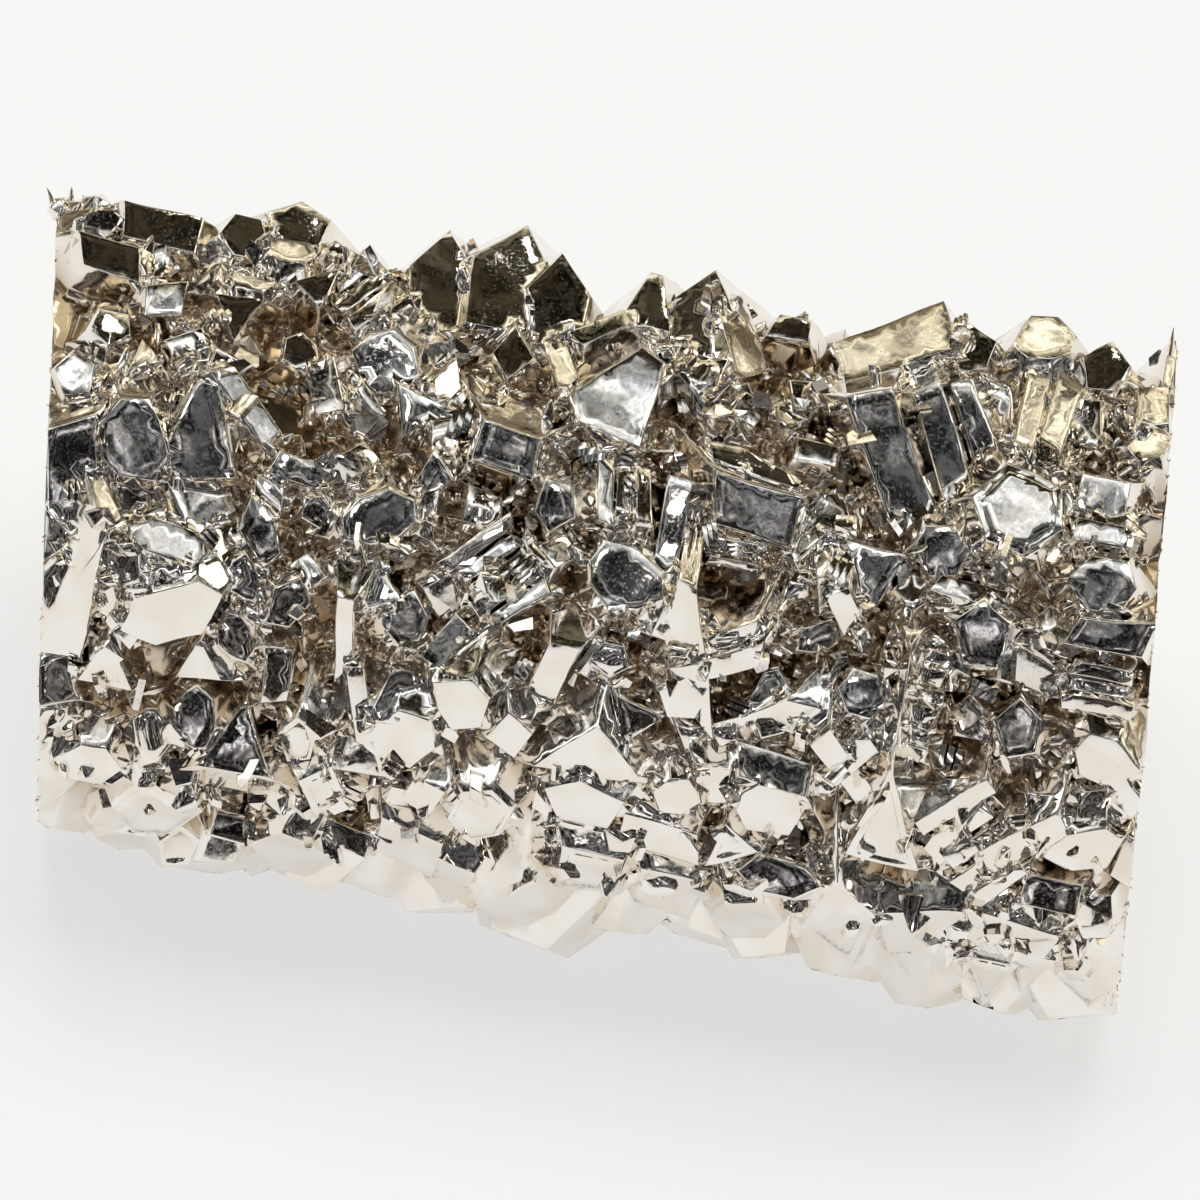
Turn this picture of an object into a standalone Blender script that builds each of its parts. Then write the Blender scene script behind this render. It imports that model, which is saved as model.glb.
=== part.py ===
"""Titanium crystal bar: a short sawn piece of bar made of intergrown blocky crystals, lying on its side.

The bar runs along X and rests on Z = 0. Its front is the side that looks half way up, between -Y and +Z.
A crystal is placed by how far along the bar it stands and how far across the front, up or down.
"""
import math
import random

import bmesh
import bpy
from mathutils import Matrix, Vector

MM = 0.001

# driving dimensions, in millimetres
AXIS_HEIGHT = 13.9          # bar's middle line above the surface it rests on
CORE_RADIUS = 11.6          # the solid inner bar that every crystal grows from
CORE_SIDES = 18
CORE_RINGS = 13
CORE_LENGTH = 54.0          # before the saw cuts
CORE_ROUGHNESS = 0.45
ROOT_RADIUS = 10.6          # every crystal reaches down to this distance from the middle line
LEFT_END = -23.85           # where the saw cuts cross the middle line
RIGHT_END = 24.0
LEFT_SKEW = 6.4             # degrees that each saw cut is off square
RIGHT_SKEW = 3.1
FRONT_ANGLE = 45.0          # the front looks this many degrees above the horizontal
BACK_SPACING = 4.2          # between crystals on the back and underside
BACK_RADIUS = 13.4          # where that spacing is measured
BACK_START = 97.0           # the back, in degrees around from the front
BACK_END = 266.0
BACK_TOP_REACH = (12.2, 12.7)   # the first rows of the back stay below the upper outline
BACK_TOP_ROWS = 1.6
BACK_TOP_SHARE = 0.75
STRAIGHT_DOWN = 225.0
UNDERSIDE = 32.0            # degrees either side of straight down where crystals stay clear of the floor
UNDERSIDE_REACH = 13.2
GAP_SPACING = 3.05          # between the lower crystals that fill the front
BAR_SHIFT_X = 0.525         # brings the middle of the finished bar to X = 0, Y = 0
BAR_SHIFT_Y = -0.19
SMALLEST_EDGE = 0.15
LEAST_ROOF_LEAN = 12.0      # a crystal that leans more than this has a far side, which falls away like a roof
ROOF_SHARE = 1.25           # how steeply, as a share of the lean
ROOF_LEDGE = 0.12
CUTTER_SIZE = 80.0
CRYSTAL_STOCK = 16.0        # block that each crystal's flat sides are cut from
RESTING_DEPTH = 0.05        # taken off the level faces under the bar
RESTING_SPIN = 20.0         # degrees for each millimetre backwards
RESTING_FLARE = 24.0
UNEVENNESS = 0.15            # how far a corner strays from an even outline, as a share of its size

TITANIUM_COLOUR = (0.76, 0.71, 0.66, 1.0)

# even outlines of a crystal's leading face: corners, and the angle of the first one
OUTLINES = {
    "triangle": (3, 90.0),
    "block": (4, 45.0),
    "diamond": (4, 90.0),
    "house": (5, 90.0),
    "hexagon": (6, 0.0),
    "round": (8, 22.5),
}
# uneven ones: corners as shares of half the width and half the height
UNEVEN_OUTLINES = {
    "kite": ((-1.0, -0.25), (-0.7, -0.75), (0.85, -1.0), (1.0, 0.75), (0.45, 1.0)),
    "leaf": ((-1.0, -0.5), (-0.3, -1.0), (0.6, -0.75), (1.0, 0.55), (0.55, 1.0), (-0.65, 0.5)),
    "wedge": ((-1.0, 1.0), (-0.85, 0.1), (0.95, -1.0), (1.0, -0.45), (-0.35, 0.95)),
    "peak": ((-0.85, -1.0), (0.65, -1.0), (1.0, 0.1), (0.1, 1.0), (-1.0, 0.25)),
    "tooth": ((-0.8, -1.0), (0.9, -0.9), (0.25, 1.0), (-0.1, 1.0)),
}

BLADE_STAGGER = 0.22        # every second blade stands this much lower
BLADE_SHORTENING = 0.12     # share of the length
BLADE_TURN = 7              # degrees between one blade's face and the next

# along and across (mm), outline, width, height (mm), spin, looks up, looks right (degrees), reach (mm), flare
# "looks" is the way the leading face points, from the front; reach is its distance from the middle line;
# flare is how far the flanks lean away from it
UPPER_LEFT = [
    (-22.8, 11.4, "block", 2.5, 1.4, -6, 30, -4, 13.7, 24),
    (-20.9, 13.0, "block", 3.5, 1.5, -3, 31, 2, 14.0, 22),
    (-23.2, 12.7, "block", 0.9, 1.4, -30, 20, 40, 13.9, 20),
    (-17.2, 13.1, "hexagon", 2.2, 1.7, 0, 31, -3, 14.2, 28),
    (-15.0, 14.0, "house", 2.7, 1.9, 0, 36, 4, 14.5, 28),
    (-15.1, 12.8, "hexagon", 2.5, 0.9, 0, 50, 2, 14.1, 22),
    (-12.5, 12.9, "block", 1.8, 0.6, -24, 30, 12, 13.7, 20),
    (-16.7, 11.2, "block", 1.7, 0.6, -5, 50, 0, 13.4, 22),
    (-16.8, 9.9, "triangle", 2.1, 1.9, 180, 28, 0, 13.3, 20),
    (-13.8, 11.5, "triangle", 2.1, 1.4, 200, 30, 4, 13.7, 20),
    (-22.2, 8.5, "house", 1.8, 1.5, 180, 34, 5, 13.4, 22),
    (-23.5, 6.2, "house", 1.6, 2.0, 10, 20, -16, 13.1, 22),
    (-20.2, 9.9, "block", 1.7, 1.3, 8, 22, 10, 13.1, 20),
    (-18.8, 8.0, "block", 1.6, 1.3, 30, 16, -15, 12.9, 20),
    (-20.6, 7.4, "triangle", 1.5, 1.3, 20, 46, 0, 12.9, 20),
    (-20.5, 3.7, "round", 3.0, 3.1, 10, 3, -3, 13.7, 30),
    (-18.0, 4.3, "kite", 3.0, 4.4, 22, 7, 5, 13.6, 26),
    (-15.8, 5.8, "block", 1.0, 4.0, 43, 12, 24, 13.4, 16),
    (-23.1, 2.0, "block", 2.0, 4.1, 10, -3, -2, 13.3, 26),
    (-22.0, 2.2, "block", 0.7, 4.7, 28, 44, 12, 13.2, 14),
    (-14.1, 8.6, "hexagon", 1.7, 1.5, 30, 28, 8, 13.0, 20),
    (-12.8, 7.2, "block", 1.2, 2.0, 20, 20, -20, 12.9, 18),
    (-13.3, 3.4, "block", 2.2, 1.0, -12, 8, 0, 13.1, 20),
    (-12.3, 1.9, "house", 1.7, 1.3, -20, -4, 5, 13.2, 22),
    (-14.6, 0.6, "house", 1.5, 2.9, 28, 0, -4, 13.3, 20),
    (-10.3, 8.6, "round", 2.5, 2.8, 15, 8, -5, 13.5, 26),
    (-9.7, 1.9, "round", 3.1, 2.2, 20, 4, 3, 13.7, 28),
    (-7.6, 7.9, "diamond", 1.5, 2.4, -10, 25, 20, 13.0, 18),
    (-7.3, 5.2, "block", 1.1, 2.5, 5, 14, 10, 12.9, 16),
]
UPPER_MIDDLE = [
    (-8.5, 12.5, "peak", 2.9, 4.3, 4, 34, -4, 13.8, 26),
    (-5.6, 13.1, "peak", 3.6, 4.7, -4, 35, 3, 14.4, 28),
    (-3.4, 12.4, "peak", 2.7, 4.0, 10, 30, 6, 14.0, 22),
    (0.4, 12.9, "tooth", 2.8, 2.4, -6, 34, -4, 13.9, 26),
    (2.8, 12.7, "peak", 2.6, 3.9, -3, 33, -7, 13.9, 24),
    (4.6, 12.0, "block", 1.3, 3.2, 27, 52, 30, 13.4, 16),
    (6.8, 12.6, "block", 1.7, 1.0, -4, 32, 0, 13.5, 20),
    (-0.5, 8.8, "kite", 3.7, 4.2, -3, 20, 0, 13.9, 22),
    (-1.4, 11.4, "block", 2.7, 0.7, 33, 38, -6, 13.6, 18),
    (1.5, 10.4, "block", 0.8, 1.3, 0, 17, 2, 13.7, 18),
    (3.2, 10.0, "house", 2.0, 1.9, 170, 30, 4, 13.3, 22),
    (-5.1, 9.7, "diamond", 2.1, 2.4, 0, 30, 4, 13.5, 24),
    (-2.9, 9.6, "block", 1.0, 2.4, 25, 46, -4, 13.0, 18),
    (-4.7, 5.6, "block", 2.6, 1.7, -8, 2, 0, 14.1, 24),
    (-2.3, 3.6, "house", 2.0, 2.2, 180, 3, -4, 13.5, 26),
    (-2.6, 6.6, "triangle", 1.5, 1.2, 150, 30, 0, 13.0, 20),
    (2.8, 3.2, "block", 0.9, 4.0, -4, 10, -3, 13.5, 14),
    (3.8, 3.1, "block", 0.8, 4.0, -3, 45, -4, 13.2, 12),
    (6.3, 4.6, "block", 3.5, 2.2, -6, 3, 2, 13.9, 24),
    (5.9, 6.5, "wedge", 4.2, 1.5, 0, 35, 0, 13.8, 20),
    (8.6, 7.4, "block", 1.9, 0.9, -4, 22, 0, 13.1, 18),
    (7.9, 9.9, "block", 1.9, 1.2, 10, 30, -8, 13.1, 20),
    (5.4, 8.9, "diamond", 1.5, 1.6, 20, 25, 14, 13.0, 20),
    (1.0, 1.0, "round", 3.2, 2.7, 0, 6, -2, 13.6, 28),
    (-5.3, 3.0, "block", 1.4, 1.4, -6, 15, 0, 13.2, 18),
]
UPPER_RIGHT = [
    (11.3, 12.6, "block", 4.9, 2.0, 28, 50, -3, 14.1, 24),
    (14.5, 12.8, "house", 1.9, 2.0, 10, 30, 6, 14.1, 24),
    (17.5, 13.7, "round", 2.5, 1.8, 0, 48, 0, 14.4, 30),
    (18.6, 10.7, "block", 1.2, 3.0, -12, 50, 5, 13.7, 16),
    (17.3, 10.5, "block", 0.8, 3.0, -6, 46, -12, 13.6, 14),
    (20.3, 12.8, "house", 2.3, 2.0, -4, 32, 3, 14.0, 24),
    (19.9, 10.4, "block", 1.0, 1.9, 8, 24, -14, 13.2, 18),
    (22.5, 11.5, "block", 1.3, 1.6, 12, 50, 4, 13.8, 20),
    (23.1, 13.0, "tooth", 1.3, 3.0, 6, 46, 8, 14.2, 18),
    (22.6, 9.9, "hexagon", 2.0, 1.3, 14, 46, 0, 13.6, 22),
    (11.6, 7.9, "block", 2.0, 5.5, 27, 6, 4, 14.0, 18),
    (13.8, 8.7, "block", 1.3, 4.8, 27, 6, 3, 13.9, 14),
    (15.1, 9.7, "block", 1.0, 3.6, 27, 8, 0, 13.7, 12),
    (17.5, 6.1, "hexagon", 4.2, 3.5, -12, 17, 0, 14.2, 28),
    (14.3, 4.0, "hexagon", 2.3, 2.1, 8, 2, -4, 13.5, 24),
    (11.6, 2.6, "triangle", 2.4, 3.3, 176, 8, 10, 13.4, 20),
    (9.3, 5.0, "house", 1.5, 2.0, -30, 22, -12, 13.1, 20),
    (20.9, 7.4, "block", 2.2, 1.5, -6, 14, 0, 13.7, 20),
    (21.2, 5.8, "block", 2.4, 1.1, -3, 15, 1, 13.8, 18),
    (21.4, 3.7, "hexagon", 3.0, 2.1, 0, 12, 3, 13.7, 24),
    (22.0, 1.5, "block", 3.6, 1.5, 0, -5, 2, 13.7, 20),
    (16.6, 0.8, "house", 2.5, 2.8, 4, -3, -3, 13.8, 26),
    (16.0, 2.5, "block", 2.8, 0.7, -8, 20, 0, 13.7, 16),
    (9.7, 1.5, "block", 0.8, 1.7, 15, -34, -10, 13.6, 16),
    (10.9, 0.5, "block", 1.0, 2.5, 35, -31, 5, 13.5, 16),
]
LOWER_LEFT = [
    (-18.3, -0.3, "hexagon", 4.4, 1.6, -8, 13, 2, 13.9, 22),
    (-17.9, -3.4, "leaf", 4.4, 2.7, 10, -35, 5, 14.0, 24),
    (-20.4, -1.5, "block", 1.4, 2.0, 20, -10, -34, 13.6, 20),
    (-20.9, -3.2, "house", 1.5, 2.1, 40, -28, -24, 13.4, 20),
    (-15.1, -1.5, "round", 1.3, 1.9, 20, -8, 8, 13.3, 24),
    (-15.0, -4.0, "round", 1.4, 2.0, 10, -12, -4, 13.5, 24),
    (-13.0, -2.3, "house", 1.6, 2.2, -14, -10, 12, 13.4, 22),
    (-13.0, -5.4, "block", 1.0, 2.2, 5, -14, 5, 13.4, 18),
    (-10.4, -3.5, "block", 0.7, 3.6, 4, -36, -8, 13.5, 14),
    (-9.3, -6.2, "block", 0.8, 3.4, 16, -24, 10, 13.5, 14),
    (-7.9, -2.3, "hexagon", 2.1, 2.2, 15, 4, 4, 13.3, 22),
    (-22.9, -3.0, "house", 1.8, 2.2, 0, -18, -8, 13.2, 22),
    (-20.3, -6.3, "triangle", 2.0, 1.9, 0, -40, 4, 13.4, 22),
    (-22.5, -7.2, "block", 1.6, 1.7, 24, -14, -6, 13.4, 20),
    (-16.2, -7.7, "round", 1.5, 2.8, 20, -12, -3, 13.5, 24),
    (-18.0, -8.6, "round", 1.4, 2.4, 10, -15, 4, 13.5, 24),
    (-14.3, -8.7, "triangle", 3.2, 3.1, 0, -8, 2, 13.9, 24),
    (-11.7, -8.0, "house", 1.4, 1.9, 10, -44, -10, 13.6, 20),
    (-10.4, -10.1, "block", 1.5, 1.6, 30, -48, 10, 13.7, 20),
    (-12.1, -10.6, "house", 1.3, 1.5, 180, -20, 0, 13.4, 20),
    (-20.5, -10.3, "hexagon", 2.5, 1.8, 0, -46, -4, 13.6, 24),
    (-22.2, -11.6, "diamond", 1.9, 2.0, 0, -58, -6, 13.5, 24),
    (-13.6, -12.2, "block", 2.3, 1.0, -6, -12, 0, 13.6, 18),
    (-9.2, -11.9, "block", 2.2, 1.0, -16, -18, 0, 13.6, 18),
    (-17.4, -11.9, "hexagon", 3.4, 1.8, 6, -60, 3, 13.7, 24),
    (-11.2, -13.0, "hexagon", 3.6, 1.6, -4, -68, 0, 14.1, 24),
]
LOWER_MIDDLE = [
    (-5.0, -5.5, "hexagon", 2.7, 2.1, 20, -35, -4, 13.9, 24),
    (-7.1, -7.3, "hexagon", 3.0, 2.0, -12, -38, -6, 13.6, 24),
    (-6.0, -2.9, "block", 1.0, 2.2, -35, 10, -10, 13.1, 16),
    (-2.8, -6.5, "diamond", 2.0, 2.0, 10, -35, 8, 13.5, 22),
    (0.7, -7.0, "triangle", 4.6, 2.2, 0, -38, 0, 13.8, 24),
    (2.4, -5.1, "triangle", 2.3, 2.0, 160, -18, 10, 13.4, 20),
    (-1.4, -3.6, "block", 1.3, 2.6, -14, -34, -8, 13.1, 18),
    (1.0, -2.6, "house", 1.8, 1.6, 180, -12, 0, 13.1, 20),
    (0.7, -8.9, "house", 3.1, 1.7, 0, -48, 0, 13.9, 24),
    (4.7, -8.1, "hexagon", 1.9, 1.5, 0, -36, 0, 13.7, 22),
    (4.2, -9.9, "block", 3.5, 1.3, -8, -46, 2, 13.7, 20),
    (6.2, -7.3, "block", 1.4, 1.7, 6, -42, 4, 13.6, 20),
    (5.7, -1.1, "block", 3.2, 0.7, 24, -30, -6, 13.9, 14),
    (5.6, -2.3, "block", 3.9, 0.9, 22, -32, -6, 13.9, 14),
    (4.5, -4.0, "house", 1.9, 1.7, 0, -30, 4, 13.3, 20),
    (8.1, -3.4, "hexagon", 1.8, 2.8, 8, -5, 6, 13.3, 20),
    (8.7, -6.3, "block", 3.3, 1.4, -8, 6, 2, 13.7, 20),
    (8.8, -8.0, "hexagon", 3.4, 1.9, -4, -46, 0, 13.9, 22),
    (7.2, -9.8, "triangle", 1.9, 1.7, 20, -40, -8, 13.5, 20),
    (9.7, -10.9, "hexagon", 3.5, 1.4, -4, -12, 0, 14.0, 22),
    (-3.5, -10.0, "hexagon", 2.8, 2.1, 14, -50, -2, 13.8, 24),
    (-6.1, -9.6, "diamond", 2.0, 1.9, 16, -44, -8, 13.6, 22),
    (-6.5, -11.9, "block", 2.6, 1.5, -16, -58, -4, 13.7, 22),
    (1.4, -11.8, "block", 3.0, 1.8, -4, -60, -4, 14.0, 22),
    (4.7, -12.2, "block", 2.8, 1.7, -6, -62, 5, 13.9, 22),
    (8.4, -12.9, "hexagon", 3.2, 1.6, 4, -66, 0, 14.2, 24),
    (-1.3, -13.8, "diamond", 4.2, 2.8, 0, -66, 0, 14.7, 28),
    (-4.4, -13.2, "house", 2.2, 1.7, 170, -64, -5, 14.0, 24),
]
LOWER_RIGHT = [
    (11.5, -5.7, "block", 0.9, 3.0, 45, -36, 8, 13.6, 18),
    (11.6, -5.6, "block", 0.9, 2.8, -45, -34, -8, 13.5, 18),
    (12.0, -2.6, "hexagon", 2.4, 1.9, -6, 5, 0, 13.3, 22),
    (13.7, -8.2, "triangle", 3.3, 4.2, 0, -42, -2, 13.9, 24),
    (17.0, -6.2, "triangle", 2.6, 2.1, 184, 0, 4, 13.4, 22),
    (18.7, -3.1, "house", 2.1, 2.4, 10, 0, -6, 13.4, 22),
    (22.4, -3.8, "hexagon", 2.7, 2.1, -8, -32, 4, 13.6, 24),
    (19.9, -7.8, "block", 3.7, 1.2, 38, -40, 2, 14.0, 16),
    (22.3, -7.7, "leaf", 3.4, 1.9, 4, -38, 6, 13.8, 22),
    (20.4, -6.1, "block", 1.7, 1.0, 0, -8, 0, 13.5, 18),
    (22.3, -5.8, "block", 1.3, 1.2, 12, -18, 0, 13.5, 18),
    (21.3, -9.9, "block", 2.4, 1.4, -4, -18, 0, 13.8, 20),
    (23.2, -10.6, "hexagon", 1.8, 1.8, 0, -20, 0, 13.7, 22),
    (16.0, -12.3, "block", 3.8, 1.7, 14, -62, -6, 14.0, 24),
    (19.8, -12.2, "block", 3.6, 1.7, -12, -58, 4, 14.0, 24),
    (12.6, -12.4, "block", 2.3, 2.2, -30, -58, 4, 14.1, 24),
    (17.0, -14.0, "diamond", 2.6, 2.6, 0, -64, 0, 14.6, 28),
    (19.2, -13.8, "triangle", 2.2, 2.0, 180, -60, 0, 14.4, 26),
    (20.9, -13.2, "triangle", 1.8, 1.8, 170, -58, 8, 14.1, 24),
    (23.3, -13.2, "diamond", 3.0, 2.8, 10, -60, 0, 14.4, 28),
]
# crystals along the lower edge of the front: along, reach, width
LOWER_EDGE_ANGLE = -86.0
LOWER_EDGE_FLARE = 30.0
LOWER_EDGE = [
    (-21.6, 13.2, 3.2),
    (-18.2, 13.5, 3.4),
    (-14.6, 14.0, 3.6),
    (-11.0, 14.0, 3.4),
    (-7.6, 14.0, 3.4),
    (-4.3, 14.4, 3.2),
    (-0.9, 15.3, 3.6),
    (2.8, 14.3, 3.4),
    (6.3, 13.9, 3.4),
    (9.4, 14.4, 3.2),
    (12.6, 14.6, 3.4),
    (16.8, 15.2, 3.2),
    (19.4, 15.0, 3.0),
    (23.2, 15.0, 3.6),
]
# narrow parallel blades: along, across, how many, step between them, blade width, length, spin, looks up,
# looks right, reach and flare
BLADES = [
    (-11.6, 11.2, 4, 0.85, 0.7, 3.1, -42, 22, -6, 13.5, 12),
    (0.6, 4.6, 3, 0.85, 0.7, 2.6, 8, 21, 6, 13.3, 12),
    (-4.2, 0.4, 5, 0.80, 0.6, 3.4, -46, 8, -4, 13.4, 12),
    (5.7, 2.6, 3, 0.45, 0.4, 2.2, 88, -26, 0, 13.3, 12),
    (14.3, -2.6, 6, 0.80, 0.7, 2.0, 84, -30, 0, 13.4, 14),
    (18.3, -9.0, 7, 0.95, 0.7, 3.4, -50, -38, 0, 13.7, 14),
    (21.9, -0.9, 3, 0.75, 0.6, 2.8, 88, -24, 4, 13.5, 14),
]
# crystals with a level face under the bar, on which it rests: along, backwards, width, depth
RESTING = [
    (-17.5, 3.6, 3.6, 3.0),
    (-13.0, -4.4, 3.0, 2.8),
    (0.5, 0.4, 4.4, 3.4),
    (13.5, -4.2, 3.2, 2.6),
    (17.5, 4.0, 3.4, 3.2),
]
# the torn lip that the saw left on the upper left edge: along, across, outwards, radius
LIP = [
    (-24.4, 12.9, 4.0, 0.95),
    (-25.3, 13.2, 3.9, 0.62),
    (-23.7, 13.3, 3.7, 0.80),
    (-24.2, 12.0, 4.2, 0.85),
    (-23.2, 12.4, 4.2, 0.80),
]


def turned(angle, lean=0.0):
    """Unit vector that looks this many degrees up from the front, leaned this many towards +X."""
    up = math.radians(FRONT_ANGLE + angle)
    side = math.radians(lean)
    return Vector((math.sin(side), -math.cos(up) * math.cos(side), math.sin(up) * math.cos(side)))


def front_point(along, across, reach):
    """Point at this distance from the middle line, seen from the front at along and across."""
    angle = math.degrees(math.asin(max(-0.999, min(0.999, across / reach))))
    point = turned(angle) * reach
    return Vector((along, point.y, point.z)), angle


def outline_corners(outline, width, height, spin, chance):
    """Corners of the leading face, counter-clockwise, about its middle."""
    turn = Matrix.Rotation(math.radians(spin), 2)
    if outline in UNEVEN_OUTLINES:
        return [turn @ Vector((x * width / 2, y * height / 2)) for x, y in UNEVEN_OUTLINES[outline]]
    count, first = OUTLINES[outline]
    angles = [math.radians(first + 360.0 * k / count) for k in range(count)]
    across = max(math.cos(a) for a in angles) - min(math.cos(a) for a in angles)
    upright = max(math.sin(a) for a in angles) - min(math.sin(a) for a in angles)
    corners = []
    for angle in angles:
        corner = Vector((math.cos(angle) * width / across, math.sin(angle) * height / upright))
        corner *= 1.0 + chance.uniform(-UNEVENNESS, UNEVENNESS)
        corner.x += chance.uniform(-UNEVENNESS, UNEVENNESS) * width / 2
        corners.append(turn @ corner)
    return corners


def cut(mesh, point, normal):
    """Takes away what lies beyond a plane and closes the opening with one flat face."""
    everything = mesh.verts[:] + mesh.edges[:] + mesh.faces[:]
    made = bmesh.ops.bisect_plane(mesh, geom=everything, dist=1e-6, plane_co=point, plane_no=normal, clear_outer=True)
    rim = [item for item in made["geom_cut"] if isinstance(item, bmesh.types.BMEdge)]
    if len(rim) > 2:
        bmesh.ops.edgeloop_fill(mesh, edges=rim)


def crystal(point, corners, sight, face, flare, root):
    """Convex solid with a flat leading face, whose flanks lean away from it down to the root plane.

    corners are the face's outline as seen along sight; face is the way it points.
    """
    right = Vector((1.0, 0.0, 0.0))
    up = sight.cross(right).normalized()
    right = up.cross(sight).normalized()
    mesh = bmesh.new()
    bmesh.ops.create_cube(mesh, size=CRYSTAL_STOCK, matrix=Matrix.Translation(point))
    cut(mesh, point, face)
    places = []
    for corner in corners:
        spot = point + right * corner.x + up * corner.y
        places.append(spot - sight * ((spot - point).dot(face) / sight.dot(face)))
    slope = math.radians(flare)
    for start, end in zip(places, places[1:] + places[:1]):
        outward = (end - start).cross(face).normalized()
        cut(mesh, start, outward * math.cos(slope) + face * math.sin(slope))
    cut(mesh, root[0], root[1])
    return mesh


def front_crystal(row, chance, outlined_from=None):
    """Crystal of the front, from one row of the lists above."""
    along, across, outline, width, height, spin, looks_up, looks_right, reach, flare = row
    point, angle = front_point(along, across, reach)
    corners = outline_corners(outline, width, height, spin, chance)
    outwards = turned(angle)
    root = (Vector((along, 0.0, 0.0)) + outwards * ROOT_RADIUS, -outwards)
    sight = turned(angle if outlined_from is None else outlined_from)
    solid = crystal(point, corners, sight, turned(looks_up, looks_right), flare, root)
    lean = angle - looks_up
    if abs(lean) > LEAST_ROOF_LEAN:
        far_side = turned(angle + ROOF_SHARE * lean)
        crest = max((vert.co for vert in solid.verts if on_face(vert.co, point, looks_up, looks_right)),
                    key=far_side.dot)
        cut(solid, crest + far_side * ROOF_LEDGE, far_side)
    return solid


def on_face(place, point, looks_up, looks_right):
    """Whether a place lies in a leading face's plane."""
    return abs((place - point).dot(turned(looks_up, looks_right))) < 1e-3


def blade_rows():
    """The parallel blades, as rows like those of the other crystals; each one stands a little lower or higher."""
    rows = []
    for along, across, count, step, width, length, spin, up, right, reach, flare in BLADES:
        side = Matrix.Rotation(math.radians(spin), 2) @ Vector((1.0, 0.0))
        for k in range(count):
            place = Vector((along, across)) + side * step * (k - (count - 1) / 2)
            low = BLADE_STAGGER * (k % 2)
            tip = length * (1.0 - BLADE_SHORTENING * ((k * 2) % 3))
            looks_up = up + BLADE_TURN * (k % 3)
            rows.append((place.x, place.y, "block", width, tip, spin, looks_up, right, reach - low, flare))
    return rows


def filling_rows(chance, named):
    """Lower crystals between the named ones on the front."""
    rows = []
    across = -12.9
    while across < 13.2:
        along = -25.5 + chance.uniform(0.0, GAP_SPACING)
        while along < 25.2:
            here = Vector((along + chance.uniform(-0.5, 0.5), across + chance.uniform(-0.5, 0.5)))
            near = min((here - Vector((row[0], row[1]))).length - 0.25 * (row[3] + row[4]) for row in named)
            size = chance.uniform(1.3, 2.2)
            reach = max(chance.uniform(12.5, 13.2), abs(here.y) + 0.35)
            outline = chance.choice(("triangle", "block", "block", "house", "diamond"))
            angle = math.degrees(math.asin(here.y / reach))
            looks_up = 0.8 * angle + chance.uniform(-26, 26)
            row = (here.x, here.y, outline, size, size * chance.uniform(0.7, 1.2), chance.uniform(0, 360),
                   looks_up, chance.uniform(-24, 24), reach, chance.uniform(16, 28))
            if near > 0.35:
                rows.append(row)
            along += GAP_SPACING
        across += GAP_SPACING * 0.8
    return rows


def edge_crystals(chance):
    """Broad crystals along the lower edge of the front, where the bar turns under."""
    solids = []
    outwards = turned(LOWER_EDGE_ANGLE)
    for along, reach, width in LOWER_EDGE:
        corners = outline_corners("house", width, width * 0.8, chance.uniform(0, 360), chance)
        face = turned(LOWER_EDGE_ANGLE + chance.uniform(-12, 12), chance.uniform(-16, 16))
        root = (Vector((along, 0.0, 0.0)) + outwards * ROOT_RADIUS, -outwards)
        point = Vector((along, 0.0, 0.0)) + outwards * reach
        solids.append(crystal(point, corners, outwards, face, LOWER_EDGE_FLARE, root))
    return solids


def back_crystals(chance):
    """Crystals of the back and the underside, spaced evenly and turned at random."""
    solids = []
    angle = BACK_START
    turn = math.degrees(BACK_SPACING / BACK_RADIUS)
    while angle < BACK_END:
        along = -25.0 + chance.uniform(0.0, BACK_SPACING)
        while along < 25.0:
            where = angle + chance.uniform(-4, 4)
            outwards = turned(where)
            reach = chance.uniform(12.9, 14.3)
            size = chance.uniform(2.2, 4.2)
            if where < BACK_START + BACK_TOP_ROWS * turn:
                reach = chance.uniform(*BACK_TOP_REACH)
                size *= BACK_TOP_SHARE
            if abs(where - STRAIGHT_DOWN) < UNDERSIDE:
                reach = min(reach, UNDERSIDE_REACH)
            outline = chance.choice(("triangle", "block", "block", "house", "house", "hexagon", "diamond"))
            height = size * chance.uniform(0.55, 1.0)
            corners = outline_corners(outline, size, height, chance.uniform(0, 360), chance)
            face = turned(where + chance.uniform(-24, 24), chance.uniform(-24, 24))
            point = Vector((along + chance.uniform(-0.7, 0.7), 0.0, 0.0)) + outwards * reach
            root = (Vector((along, 0.0, 0.0)) + outwards * ROOT_RADIUS, -outwards)
            solids.append(crystal(point, corners, outwards, face, chance.uniform(18, 30), root))
            along += BACK_SPACING
        angle += turn
    return solids


def resting_crystals(chance):
    """Crystals under the bar whose lowest faces are level."""
    down = Vector((0.0, 0.0, -1.0))
    solids = []
    for along, back, width, depth in RESTING:
        point = Vector((along, back, -AXIS_HEIGHT - RESTING_DEPTH))
        corners = outline_corners("hexagon", width, depth, RESTING_SPIN * back, chance)
        root = (Vector((along, 0.0, -ROOT_RADIUS)), -down)
        solids.append(crystal(point, corners, down, down, RESTING_FLARE, root))
    return solids


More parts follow.
